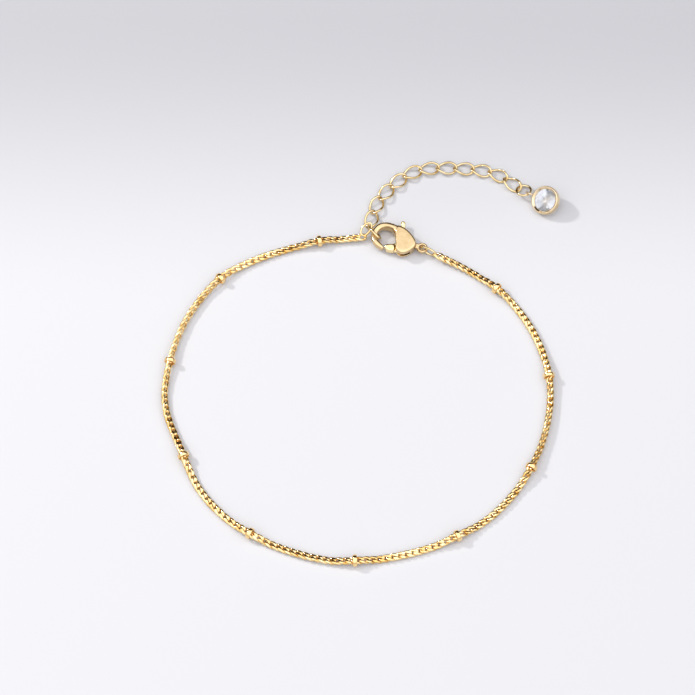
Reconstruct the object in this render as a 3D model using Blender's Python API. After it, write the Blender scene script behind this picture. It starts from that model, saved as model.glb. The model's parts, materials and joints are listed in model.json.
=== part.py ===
"""Station chain bracelet with a lobster clasp, a link extender and a crystal drop.

Metres, +Z up, lying flat on the plane z = 0. The layout is worked out on the table in a plan
whose origin lies inside the loop, and the last step moves the whole part so that its own
origin is at the bottom centre of its box.
"""
import math

import bmesh
import bpy
from mathutils import Matrix, Vector

MM = 0.001

# Fine chain: one strand, lying clockwise from the clasp's eye to the hook link.
CHAIN_DIAMETER = 1.10 * MM
CHAIN_STEPS_PER_GAP = 6
CHAIN_END_GAP = 0.35 * MM
# Plan points on the table, in millimetres, between the two connectors.
CHAIN_ROUTE = [
    (19.66, 12.10), (25.42, 6.91), (29.12, 0.00), (30.46, -7.65), (29.20, -15.38),
    (25.86, -22.45), (20.62, -28.27), (13.82, -32.15), (6.32, -34.32), (-1.50, -34.94),
    (-9.11, -33.10), (-16.09, -29.53), (-21.56, -23.97), (-24.88, -16.88), (-27.33, -9.51),
    (-26.54, -1.71), (-23.81, 5.60), (-18.97, 11.75), (-12.17, 15.56), (-4.64, 17.76),
]

# Station beads: rings round the chain, which they lift off the table.
STATION_PITCH = 16.15 * MM
STATION_FIRST = 10.30 * MM
STATION_DIAMETER = 1.78 * MM
STATION_LENGTH = 0.64 * MM
STATION_CLEARANCE = 0.10 * MM
STATION_LIFT_LENGTH = 3.2 * MM
STATION_SIDES = 16
# Roundness of a ring's section: 1 is an ellipse, less is squarer.
RING_SQUARENESS = 0.8
# How far each bead lies from its even place along the chain, in millimetres.
STATION_DRIFT = [0.0, 0.8, 0.2, -0.1, -0.6, -0.6, -0.4, -0.4, -0.5, 0.0]

# Wire links: the extender, the hook link, the two connectors and the jump ring.
WIRE = 0.36 * MM
LINK_PLAY = 0.10 * MM
LINK_LENGTH = 3.54 * MM
LINK_WIDTH = 2.30 * MM
LINK_TWIST = math.radians(84)
LINK_SEGMENTS = 16
EXTENDER_LINKS = 11
# Plan offsets from the first extender link's centre, in millimetres.
EXTENDER_ROUTE = [
    (0.00, 0.00), (0.76, 2.55), (2.45, 5.10), (4.45, 7.10), (6.80, 8.60), (9.35, 9.20),
    (12.05, 9.25), (14.85, 9.10), (17.50, 8.75), (20.05, 7.85), (22.00, 6.40),
    (23.90, 4.75), (26.70, 2.75), (30.00, 0.20),
]

# Lobster clasp. Its local x runs from the pivot to the eye, its local y to the thumb nub.
CLASP_CENTRE = (8.68 * MM, 17.45 * MM)
CLASP_YAW = math.radians(-18.45)
CLASP_THICKNESS = 2.00 * MM
PLATE_LENGTH = 3.90 * MM
PLATE_WIDTH = 4.50 * MM
PLATE_TOP_EDGE = 0.25 * MM
PLATE_UNDER_EDGE = 0.62 * MM
SLOT_HEIGHT = 0.62 * MM
HOOK_REACH = 4.78 * MM
HOOK_SPAN = 4.00 * MM
EYE_DIAMETER = 1.76 * MM
EYE_HOLE = 0.86 * MM
EYE_THICKNESS = 0.66 * MM
EYE_NECK = 0.14 * MM
EYE_NECK_WIDTH = 0.80 * MM
EYE_NECK_OVERLAP = 0.35 * MM

# Clasp lever on its pin.
LEVER_CLEARANCE = 0.08 * MM
GATE_THICKNESS = 1.04 * MM
GATE_EDGE = 0.22 * MM
NUB_DIAMETER = 0.80 * MM
PIN_DIAMETER = 0.50 * MM
PIN_CLEARANCE = 0.06 * MM
PIN_POCKET = 0.32 * MM
PIN_SIDES = 12

# Plain oval links: the one in the hook and the connectors at the chain's two ends.
HOOK_LINK_LENGTH = 3.40 * MM
HOOK_LINK_WIDTH = 2.25 * MM
CONNECTOR_LEFT_LENGTH = 2.60 * MM
CONNECTOR_LEFT_WIDTH = 1.60 * MM
CONNECTOR_RIGHT_LENGTH = 3.00 * MM
CONNECTOR_RIGHT_WIDTH = 2.00 * MM

# Crystal drop.
JUMP_RING_DIAMETER = 2.60 * MM
JUMP_RING_PITCH = math.radians(16)
JUMP_RING_ROLL = math.radians(-10)
# From the last link's centre: along it, across it and up from the table.
JUMP_RING_OFFSET = (2.16 * MM, 0.14 * MM, 0.20 * MM)
BEZEL_DIAMETER = 4.48 * MM
BEZEL_SIDE = 0.95 * MM
BEZEL_LEAN = math.radians(32)
BEZEL_LEAN_HEADING = math.radians(210)
BEZEL_TURN = math.radians(10)
BEZEL_BACK_DIAMETER = 1.50 * MM
BEZEL_LIP_DIAMETER = 3.50 * MM
BEZEL_LIP_HEIGHT = 0.34 * MM
BEZEL_WALL = 0.20 * MM
BEZEL_SEAT_STEP = 0.06 * MM
BEZEL_BAY_DEPTH = 0.36 * MM
BEZEL_FLOOR = 0.30 * MM
BEZEL_EYE_DIAMETER = 1.50 * MM
BEZEL_EYE_WIRE = 0.30 * MM
BEZEL_EYE_SINK = 0.105 * MM
STONE_DIAMETER = 3.64 * MM
STONE_CLEARANCE = 0.10 * MM
STONE_GIRDLE = 0.08 * MM
STONE_TABLE_SHARE = 0.56
# Facet corners: share of the radius, then share of the crown's or the pavilion's height.
STONE_STAR = (0.80, 0.52)
STONE_LOWER = (0.44, 0.62)
STONE_CROWN = 0.34 * MM
STONE_PAVILION = 0.70 * MM
ROUND_SIDES = 24

# Plate outline in shares of PLATE_LENGTH and PLATE_WIDTH, counter-clockwise. The first row of
# points is the round outer edge, the second the hollow edge that faces the hook's opening.
PLATE_OUTER = [
    (-0.19, -0.41), (0.04, -0.50), (0.28, -0.40), (0.47, -0.17), (0.50, 0.00), (0.385, 0.18),
    (0.12, 0.36), (-0.15, 0.475), (-0.38, 0.50), (-0.50, 0.485),
]
PLATE_INNER = [
    (-0.50, 0.34), (-0.45, 0.23), (-0.405, 0.12), (-0.35, -0.01), (-0.29, -0.15), (-0.235, -0.31),
    (-0.19, -0.41),
]

# Hook: middle line in shares of HOOK_REACH and HOOK_SPAN, then the section's size in mm.
HOOK_SECTIONS = [
    # x share, y share, width, thickness
    (-0.21, 0.275, 1.60, 1.90),
    (-0.315, 0.362, 1.40, 1.98),
    (-0.43, 0.445, 1.10, 2.00),
    (-0.565, 0.475, 0.96, 1.90),
    (-0.71, 0.468, 0.98, 1.66),
    (-0.88, 0.375, 1.02, 1.24),
    (-0.97, 0.22, 1.02, 1.04),
    (-1.00, 0.05, 1.02, 1.00),
    (-0.97, -0.12, 1.02, 1.05),
    (-0.885, -0.30, 1.00, 1.14),
    (-0.735, -0.42, 0.88, 1.12),
    (-0.62, -0.48, 0.62, 1.00),
    (-0.565, -0.52, 0.30, 0.80),
]
HOOK_STEPS = 2
HOOK_SIDES = 16
HOOK_SQUARENESS = 3.2

# Slot between the plates, in shares of PLATE_LENGTH and PLATE_WIDTH, counter-clockwise.
SLOT_OUTLINE = [
    (-0.37, 0.76), (-0.335, 0.42), (-0.30, 0.25), (-0.42, 0.17), (-0.62, 0.09), (-0.62, -0.62),
    (0.36, -0.62), (0.36, -0.12), (0.26, 0.08), (0.17, 0.28), (0.17, 0.76),
]

# Lever: tongue in the slot and thick gate, in shares of PLATE_LENGTH and PLATE_WIDTH.
TONGUE_OUTLINE = [
    (-0.56, -0.40), (-0.22, -0.44), (0.00, -0.42), (0.14, -0.30), (0.19, -0.09), (0.20, 0.06),
    (0.12, 0.17), (0.01, 0.24), (-0.12, 0.50), (-0.21, 0.68), (-0.35, 0.68), (-0.32, 0.50),
    (-0.25, 0.27),
    (-0.22, 0.09), (-0.27, -0.08), (-0.42, -0.21), (-0.56, -0.25),
]
GATE_OUTLINE = [
    (-0.692, -0.36), (-0.641, -0.427), (-0.569, -0.485), (-0.42, -0.493), (-0.256, -0.465),
    (-0.245, -0.40), (-0.27, -0.30), (-0.31, -0.22), (-0.38, -0.195), (-0.52, -0.24),
    (-0.65, -0.295),
]
NUB_PLACE = (-0.29, 0.70)

# Links that hang loosely at the hook: plan offset from the hook's far point in shares of
# LINK_LENGTH, height in shares of LINK_WIDTH, then yaw, pitch and roll in degrees.
HOOK_LINK_POSE = (-0.017, 0.059, 0.449, 123, -9.5, 61.5)
EXTENDER_FIRST_POSE = (-0.136, 0.715, 0.283, 75.5, 0, 0)
CONNECTOR_LEFT_POSE = (-0.373, 0.161, 0.540, 50.5, 18.5, 19)


def clear_scene():
    for item in list(bpy.data.objects):
        bpy.data.objects.remove(item, do_unlink=True)


def make_material(name, colour, roughness, metallic, transmission=0.0):
    material = bpy.data.materials.new(name)
    material.use_nodes = True
    shader = material.node_tree.nodes["Principled BSDF"]
    shader.inputs["Base Color"].default_value = (*colour, 1.0)
    shader.inputs["Roughness"].default_value = roughness
    shader.inputs["Metallic"].default_value = metallic
    shader.inputs["Transmission Weight"].default_value = transmission
    return material


def gold(name, roughness=0.22):
    return make_material(name, (0.90, 0.66, 0.30), roughness, 1.0)


def add_object(name, data, material, root):
    item = bpy.data.objects.new(name, data)
    bpy.context.collection.objects.link(item)
    item.data.materials.append(material)
    item.parent = root
    return item


def shade(mesh, degrees=38):
    mesh.shade_smooth()
    mesh.set_sharp_from_angle(angle=math.radians(degrees))


def apply_modifiers(item):
    depsgraph = bpy.context.evaluated_depsgraph_get()
    mesh = bpy.data.meshes.new_from_object(item.evaluated_get(depsgraph))
    item.modifiers.clear()
    item.data = mesh


def smooth_points(points, steps, closed=False):
    """Points of a Catmull-Rom curve through the given points."""
    points = [Vector(point) for point in points]
    count = len(points)
    result = []
    for index in range(count if closed else count - 1):
        b = points[index]
        c = points[(index + 1) % count]
        a = points[(index - 1) % count] if closed or index > 0 else 2 * b - c
        d = points[(index + 2) % count] if closed or index < count - 2 else 2 * c - b
        for step in range(steps):
            t = step / steps
            result.append(0.5 * (2 * b + (c - a) * t + (2 * a - 5 * b + 4 * c - d) * t ** 2
                                 + (3 * b - a - 3 * c + d) * t ** 3))
    if not closed:
        result.append(points[-1])
    return result


class Route:
    """A smooth plan curve that is read by the length along it."""

    def __init__(self, points, steps=24):
        self.points = smooth_points(points, steps)
        self.marks = [0.0]
        for a, b in zip(self.points, self.points[1:]):
            self.marks.append(self.marks[-1] + (b - a).length)
        self.length = self.marks[-1]

    def at(self, distance):
        distance = min(max(distance, 0.0), self.length)
        index = 0
        while index < len(self.marks) - 2 and self.marks[index + 1] < distance:
            index += 1
        span = self.marks[index + 1] - self.marks[index]
        return self.points[index].lerp(self.points[index + 1], (distance - self.marks[index]) / span)

    def after(self, start, chord):
        """The length along the curve whose point lies one chord from the point at start."""
        origin = self.at(start)
        low = start
        high = min(start + 2 * chord, self.length)
        for _ in range(40):
            middle = (low + high) / 2
            if (self.at(middle) - origin).length < chord:
                low = middle
            else:
                high = middle
        return low


def pose(place, yaw=0.0, pitch=0.0, roll=0.0):
    turn = Matrix.Rotation(yaw, 4, "Z") @ Matrix.Rotation(-pitch, 4, "Y") @ Matrix.Rotation(roll, 4, "X")
    return Matrix.Translation(Vector(place)) @ turn


def wire_loop(name, points, wire, frame, material, root):
    curve = bpy.data.curves.new(name, "CURVE")
    curve.dimensions = "3D"
    curve.bevel_depth = wire / 2
    curve.bevel_resolution = 1
    curve.render_resolution_u = 0
    spline = curve.splines.new("POLY")
    spline.points.add(len(points) - 1)
    for target, point in zip(spline.points, points):
        target.co = (*(frame @ Vector(point)), 1.0)
    spline.use_cyclic_u = True
    spline.use_smooth = True
    return add_object(name, curve, material, root)


def oval(length, width, wire, twist=0.0, segments=LINK_SEGMENTS):
    """Middle line of a wire oval; a twist turns its two ends opposite ways about its length."""
    half_length = (length - wire) / 2
    half_width = (width - wire) / 2
    points = []
    for step in range(segments):
        angle = 2 * math.pi * (step + 0.5) / segments
        x = half_length * math.cos(angle)
        y = half_width * math.sin(angle)
        roll = twist * x / (2 * half_length)
        points.append((x, y * math.cos(roll), y * math.sin(roll)))
    return points


def lathe(profile, sides):
    """Closed profile of (radius, height) turned about z; radius 0 is a point on the axis."""
    shape = bmesh.new()
    rows = []
    for radius, height in profile:
        if radius == 0:
            rows.append([shape.verts.new((0, 0, height))])
        else:
            angles = [2 * math.pi * k / sides for k in range(sides)]
            rows.append([shape.verts.new((radius * math.cos(a), radius * math.sin(a), height))
                         for a in angles])
    for lower, upper in zip(rows, rows[1:] + rows[:1]):
        if len(lower) == 1 and len(upper) == 1:
            continue
        for k in range(sides):
            n = (k + 1) % sides
            corners = [lower[k % len(lower)], lower[n % len(lower)],
                       upper[n % len(upper)], upper[k % len(upper)]]
            shape.faces.new(list(dict.fromkeys(corners)))
    bmesh.ops.recalc_face_normals(shape, faces=shape.faces)
    return shape


def ring_profile(inner, outer, thickness, squareness=1.0, steps=10):
    """Rounded section of a ring, as (radius, height) points."""
    middle = (inner + outer) / 2
    half = (outer - inner) / 2
    points = []
    for step in range(steps):
        angle = 2 * math.pi * (step + 0.5) / steps
        c = math.cos(angle)
        s = math.sin(angle)
        points.append((middle + half * math.copysign(abs(c) ** squareness, c),
                       thickness / 2 * math.copysign(abs(s) ** squareness, s)))
    return points


def finish_mesh(name, shape, frame, material, root):
    shape.transform(frame)
    mesh = bpy.data.meshes.new(name)
    shape.to_mesh(mesh)
    shape.free()
    shade(mesh)
    return add_object(name, mesh, material, root)


def slab(outline, low, high, under_edge=0.0, top_edge=0.0, steps=3):
    """A flat outline raised from low to high, with its two rims rounded."""
    count = len(outline)
    middle = Vector((sum(x for x, _ in outline) / count, sum(y for _, y in outline) / count))
    reach = sum((Vector(point) - middle).length for point in outline) / count
    levels = []
    for k in range(steps + 1 if under_edge else 1):
        angle = math.pi / 2 * k / steps
        levels.append((low + under_edge * (1 - math.cos(angle)), under_edge * (1 - math.sin(angle))))
    for k in range(steps + 1 if top_edge else 1):
        angle = math.pi / 2 * k / steps
        levels.append((high - top_edge * (1 - math.sin(angle)), top_edge * (1 - math.cos(angle))))
    shape = bmesh.new()
    rows = []
    for height, inset in levels:
        scale = 1 - inset / reach
        row = []
        for x, y in outline:
            place = middle + (Vector((x, y)) - middle) * scale
            row.append(shape.verts.new((place.x, place.y, height)))
        rows.append(row)
    for lower, upper in zip(rows, rows[1:]):
        for k in range(count):
            n = (k + 1) % count
            shape.faces.new((lower[k], lower[n], upper[n], upper[k]))
    shape.faces.new(list(reversed(rows[0])))
    shape.faces.new(rows[-1])
    bmesh.ops.recalc_face_normals(shape, faces=shape.faces)
    return shape


def shares(points, length, width):
    return [(x * length, y * width) for x, y in points]


def hook_sections():
    """Smoothed rows of x, y, width and thickness along the hook's middle line."""
    rows = []
    for index in range(4):
        column = [(row[index], 0.0, 0.0) for row in HOOK_SECTIONS]
        rows.append([point.x for point in smooth_points(column, HOOK_STEPS)])
    return [(x * HOOK_REACH, y * HOOK_SPAN, w * MM, t * MM) for x, y, w, t in zip(*rows)]


def hook_solid():
    sections = hook_sections()
    shape = bmesh.new()
    middles = [Vector((x, y, 0)) for x, y, _, _ in sections]
    rings = []
    for index, (x, y, width, thickness) in enumerate(sections):
        before = middles[max(index - 1, 0)]
        beyond = middles[min(index + 1, len(middles) - 1)]
        along = (beyond - before).normalized()
        across = Vector((-along.y, along.x, 0))
        ring = []
        for side in range(HOOK_SIDES):
            angle = 2 * math.pi * (side + 0.5) / HOOK_SIDES
            c = math.cos(angle)
            s = math.sin(angle)
            u = math.copysign(abs(c) ** (2 / HOOK_SQUARENESS), c) * width / 2
            v = math.copysign(abs(s) ** (2 / HOOK_SQUARENESS), s) * thickness / 2
            ring.append(shape.verts.new(middles[index] + across * u + Vector((0, 0, v))))
        rings.append(ring)
    for a, b in zip(rings, rings[1:]):
        for k in range(HOOK_SIDES):
            n = (k + 1) % HOOK_SIDES
            shape.faces.new((a[k], a[n], b[n], b[k]))
    shape.faces.new(rings[0])
    shape.faces.new(rings[-1])
    bmesh.ops.recalc_face_normals(shape, faces=shape.faces)
    return shape


def combine(base, tools):
    """Joins or cuts the base with each (operation, solid) in turn, then drops the cutters."""
    for operation, tool in tools:
        modifier = base.modifiers.new(operation, "BOOLEAN")
        modifier.operation = operation
        modifier.solver = "EXACT"
        modifier.object = tool
        bpy.context.view_layer.update()
        apply_modifiers(base)
        bpy.data.objects.remove(tool, do_unlink=True)
    shade(base.data)


def clasp_frame():
    return pose((*CLASP_CENTRE, CLASP_THICKNESS / 2), yaw=CLASP_YAW)


def eye_centre():
    """Centre of the clasp's eye in the clasp's own frame."""
    return PLATE_OUTER[4][0] * PLATE_LENGTH + EYE_NECK + EYE_DIAMETER / 2


def build_clasp_body(root):
    frame = clasp_frame()
    metal = gold("clasp_body_gold", 0.28)
    outline = smooth_points([(x, y, 0) for x, y in PLATE_OUTER], 2)[:-1]
    outline += smooth_points([(x, y, 0) for x, y in PLATE_INNER], 2)[:-1]
    plates = slab(shares([(p.x, p.y) for p in outline], PLATE_LENGTH, PLATE_WIDTH),
                  -CLASP_THICKNESS / 2, CLASP_THICKNESS / 2, PLATE_UNDER_EDGE, PLATE_TOP_EDGE)
    body = finish_mesh("clasp_body", plates, frame, metal, root)
    hook = finish_mesh("hook_tool", hook_solid(), frame, metal, root)
    ring = lathe(ring_profile(EYE_HOLE / 2, EYE_DIAMETER / 2, EYE_THICKNESS, RING_SQUARENESS),
                 ROUND_SIDES)
    ring.transform(Matrix.Translation((eye_centre(), 0, 0)))
    eye = finish_mesh("eye_tool", ring, frame, metal, root)
    tip = PLATE_OUTER[4][0] * PLATE_LENGTH
    neck_start = tip - EYE_NECK_OVERLAP
    neck_end = tip + EYE_NECK + EYE_NECK_OVERLAP
    half_neck = EYE_NECK_WIDTH / 2
    neck_outline = [(neck_start, -half_neck), (neck_end, -half_neck), (neck_end, half_neck),
                    (neck_start, half_neck)]
    neck_shape = slab(neck_outline, -EYE_THICKNESS / 2, EYE_THICKNESS / 2)
    neck = finish_mesh("neck_tool", neck_shape, frame, metal, root)
    slot_outline = shares(SLOT_OUTLINE, PLATE_LENGTH, PLATE_WIDTH)
    slot = finish_mesh("slot_tool", slab(slot_outline, -SLOT_HEIGHT / 2, SLOT_HEIGHT / 2),
                       frame, metal, root)
    pocket_reach = SLOT_HEIGHT / 2 + PIN_POCKET
    pocket_radius = PIN_DIAMETER / 2 + PIN_CLEARANCE
    pocket = lathe([(0, -pocket_reach), (pocket_radius, -pocket_reach),
                    (pocket_radius, pocket_reach), (0, pocket_reach)], PIN_SIDES)
    pockets = finish_mesh("pocket_tool", pocket, frame, metal, root)
    combine(body, [("UNION", hook), ("UNION", neck), ("DIFFERENCE", slot), ("DIFFERENCE", pockets),
                   ("UNION", eye)])


def build_clasp_lever(root):
    metal = gold("clasp_lever_gold", 0.20)
    hinge = bpy.data.objects.new("lever_hinge", None)
    bpy.context.collection.objects.link(hinge)
    hinge.parent = root
    hinge.matrix_local = clasp_frame()
    still = Matrix.Identity(4)
    half = SLOT_HEIGHT / 2 - LEVER_CLEARANCE
    tongue = slab(shares(TONGUE_OUTLINE, PLATE_LENGTH, PLATE_WIDTH), -half, half)
    lever = finish_mesh("clasp_lever", tongue, still, metal, hinge)
    gate_outline = shares(GATE_OUTLINE, PLATE_LENGTH, PLATE_WIDTH)
    gate_shape = slab(gate_outline, -GATE_THICKNESS / 2, GATE_THICKNESS / 2, GATE_EDGE, GATE_EDGE)
    gate = finish_mesh("gate_tool", gate_shape, still, metal, hinge)
    knob = bmesh.new()
    bmesh.ops.create_uvsphere(knob, u_segments=12, v_segments=8, radius=NUB_DIAMETER / 2)
    knob_place = shares([NUB_PLACE], PLATE_LENGTH, PLATE_WIDTH)[0]
    knob.transform(Matrix.Translation((*knob_place, 0)))
    nub = finish_mesh("nub_tool", knob, still, metal, hinge)
    bore_radius = PIN_DIAMETER / 2 + PIN_CLEARANCE
    bore = finish_mesh("bore_tool", lathe([(0, -SLOT_HEIGHT), (bore_radius, -SLOT_HEIGHT),
                                           (bore_radius, SLOT_HEIGHT), (0, SLOT_HEIGHT)], PIN_SIDES),
                       still, metal, hinge)
    combine(lever, [("UNION", gate), ("UNION", nub), ("DIFFERENCE", bore)])


def build_clasp_pin(root):
    reach = SLOT_HEIGHT / 2 + PIN_POCKET - PIN_CLEARANCE
    radius = PIN_DIAMETER / 2
    pin = lathe([(0, -reach), (radius, -reach), (radius, reach), (0, reach)], PIN_SIDES)
    finish_mesh("clasp_pin", pin, clasp_frame(), gold("clasp_pin_gold"), root)


def hook_far_point():
    """Plan point of the hook's middle line that lies furthest from the eye."""
    far = max(HOOK_SECTIONS, key=lambda row: -row[0])
    return clasp_frame() @ Vector((far[0] * HOOK_REACH, far[1] * HOOK_SPAN, 0))


def hanging_pose(row):
    x, y, height, yaw, pitch, roll = row
    far = hook_far_point()
    place = (far.x + x * LINK_LENGTH, far.y + y * LINK_LENGTH, height * LINK_WIDTH)
    return pose(place, math.radians(yaw), math.radians(pitch), math.radians(roll))


def build_hook_link(root):
    points = oval(HOOK_LINK_LENGTH, HOOK_LINK_WIDTH, WIRE)
    wire_loop("hook_link", points, WIRE, hanging_pose(HOOK_LINK_POSE), gold("hook_link_gold"), root)


def connector_right_frame():
    """The right connector stands on edge in the eye and runs out towards the chain."""
    first = Vector((CHAIN_ROUTE[0][0] * MM, CHAIN_ROUTE[0][1] * MM, CLASP_THICKNESS / 2))
    eye = clasp_frame() @ Vector((eye_centre(), 0, 0))
    away = (first - eye).normalized()
    # Its end stands in the hole, clear of the eye's wire by the play.
    end_from_eye = EYE_HOLE / 2 - WIRE / 2 - LINK_PLAY / 2
    centre = eye + away * (end_from_eye + (CONNECTOR_RIGHT_LENGTH - WIRE) / 2 - 2 * end_from_eye)
    return pose(centre, yaw=math.atan2(away.y, away.x), roll=math.radians(90))


def build_connectors(root):
    left = hanging_pose(CONNECTOR_LEFT_POSE)
    points = oval(CONNECTOR_LEFT_LENGTH, CONNECTOR_LEFT_WIDTH, WIRE)
    wire_loop("connector_left", points, WIRE, left, gold("connector_left_gold"), root)
    right = connector_right_frame()
    points = oval(CONNECTOR_RIGHT_LENGTH, CONNECTOR_RIGHT_WIDTH, WIRE)
    wire_loop("connector_right", points, WIRE, right, gold("connector_right_gold"), root)
    left_end = left @ Vector((-CONNECTOR_LEFT_LENGTH / 2 - CHAIN_END_GAP, 0, 0))
    right_end = right @ Vector((CONNECTOR_RIGHT_LENGTH / 2 + CHAIN_END_GAP, 0, 0))
    return left_end, right_end


def chain_height(distance, stations, ends, length):
    """Height of the chain's middle line: on the table, up in each bead and at both ends."""
    rest = CHAIN_DIAMETER / 2
    lifted = STATION_DIAMETER / 2
    height = rest
    for place in stations:
        away = max(abs(distance - place) - STATION_LENGTH, 0.0)
        share = max(1.0 - away / STATION_LIFT_LENGTH, 0.0)
        height = max(height, rest + (lifted - rest) * share * share * (3 - 2 * share))
    for place, top in ((0.0, ends[0]), (length, ends[1])):
        share = max(1.0 - abs(distance - place) / (2 * STATION_LIFT_LENGTH), 0.0)
        height = max(height, rest + (top - rest) * share * share * (3 - 2 * share))
    return height


def build_chain(root, left_end, right_end):
    plan = [(right_end.x, right_end.y, 0)]
    plan += [(x * MM, y * MM, 0) for x, y in CHAIN_ROUTE]
    plan += [(left_end.x, left_end.y, 0)]
    route = Route(plan)
    count = int((route.length - STATION_FIRST - STATION_LENGTH) // STATION_PITCH) + 1
    drift = [STATION_DRIFT[k % len(STATION_DRIFT)] * MM for k in range(count)]
    stations = [STATION_FIRST + STATION_PITCH * k + drift[k] for k in range(count)]
    ends = (right_end.z, left_end.z)

    # The tube runs straight through each bead, so it has a point on both sides of it.
    marks = [0.0]
    for place in stations + [route.length + STATION_LENGTH]:
        start = marks[-1]
        stop = place - STATION_LENGTH
        steps = max(1, round((stop - start) / (STATION_PITCH / CHAIN_STEPS_PER_GAP)))
        marks += [start + (stop - start) * (k + 1) / steps for k in range(steps)]
        if place < route.length:
            marks.append(place + STATION_LENGTH)
    curve = bpy.data.curves.new("chain", "CURVE")
    curve.dimensions = "3D"
    curve.bevel_depth = CHAIN_DIAMETER / 2
    curve.bevel_resolution = 2
    curve.render_resolution_u = 0
    curve.use_fill_caps = True
    spline = curve.splines.new("POLY")
    spline.points.add(len(marks) - 1)
    for target, mark in zip(spline.points, marks):
        point = route.at(mark)
        target.co = (point.x, point.y, chain_height(mark, stations, ends, route.length), 1.0)
    spline.use_smooth = True
    add_object("chain", curve, gold("chain_gold", 0.25), root)

    for number, place in enumerate(stations, 1):
        build_station(root, number, route.at(place - STATION_LENGTH), route.at(place + STATION_LENGTH))


def build_station(root, number, before, beyond):
    bore = CHAIN_DIAMETER + 2 * STATION_CLEARANCE
    profile = ring_profile(bore / 2, STATION_DIAMETER / 2, STATION_LENGTH, RING_SQUARENESS, 8)
    ring = lathe(profile, STATION_SIDES)
    along = beyond - before
    middle = (before + beyond) / 2
    frame = pose((middle.x, middle.y, STATION_DIAMETER / 2), yaw=math.atan2(along.y, along.x))
    frame = frame @ Matrix.Rotation(math.radians(90), 4, "Y")
    name = f"station_bead_{number:02d}"
    finish_mesh(name, ring, frame, gold(name + "_gold", 0.18), root)


def build_extender(root):
    """Curb links one pitch apart along the route; returns the last place and the one beyond."""
    first = hanging_pose(EXTENDER_FIRST_POSE)
    start = first.to_translation()
    plan = [(start.x + x * MM, start.y + y * MM, 0) for x, y in EXTENDER_ROUTE]
    route = Route(plan)
    pitch = LINK_LENGTH - 2 * WIRE - LINK_PLAY
    points = oval(LINK_LENGTH, LINK_WIDTH, WIRE, LINK_TWIST)
    mark = 0.0
    centres = [route.at(0.0)]
    for _ in range(EXTENDER_LINKS + 1):
        mark = route.after(mark, pitch)
        centres.append(route.at(mark))
    height = WIRE / 2 - min(point[2] for point in points)
    for number in range(EXTENDER_LINKS):
        here = centres[number]
        along = centres[number + 1] - centres[max(number - 1, 0)]
        frame = pose((here.x, here.y, height), yaw=math.atan2(along.y, along.x))
        if number == 0:
            frame = first
        name = f"extender_link_{number + 1:02d}"
        wire_loop(name, points, WIRE, frame, gold(name + "_gold"), root)
    return centres[EXTENDER_LINKS - 1], centres[EXTENDER_LINKS]


def brilliant(radius, crown, pavilion, girdle):
    """Round brilliant: table, star and kite facets, girdle and a pointed pavilion."""
    shape = bmesh.new()

    def ring(count, share, height, offset=0.0):
        for k in range(count):
            angle = 2 * math.pi * (k + offset) / count
            shape.verts.new((radius * share * math.cos(angle), radius * share * math.sin(angle), height))

    ring(8, STONE_TABLE_SHARE, crown)
    ring(8, STONE_STAR[0], crown * STONE_STAR[1], 0.5)
    ring(16, 1.0, 0.0)
    ring(16, 1.0, -girdle)
    ring(8, STONE_LOWER[0], -girdle - pavilion * STONE_LOWER[1], 0.5)
    shape.verts.new((0, 0, -girdle - pavilion))
    bmesh.ops.convex_hull(shape, input=shape.verts)
    bmesh.ops.recalc_face_normals(shape, faces=shape.faces)
    return shape


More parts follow.
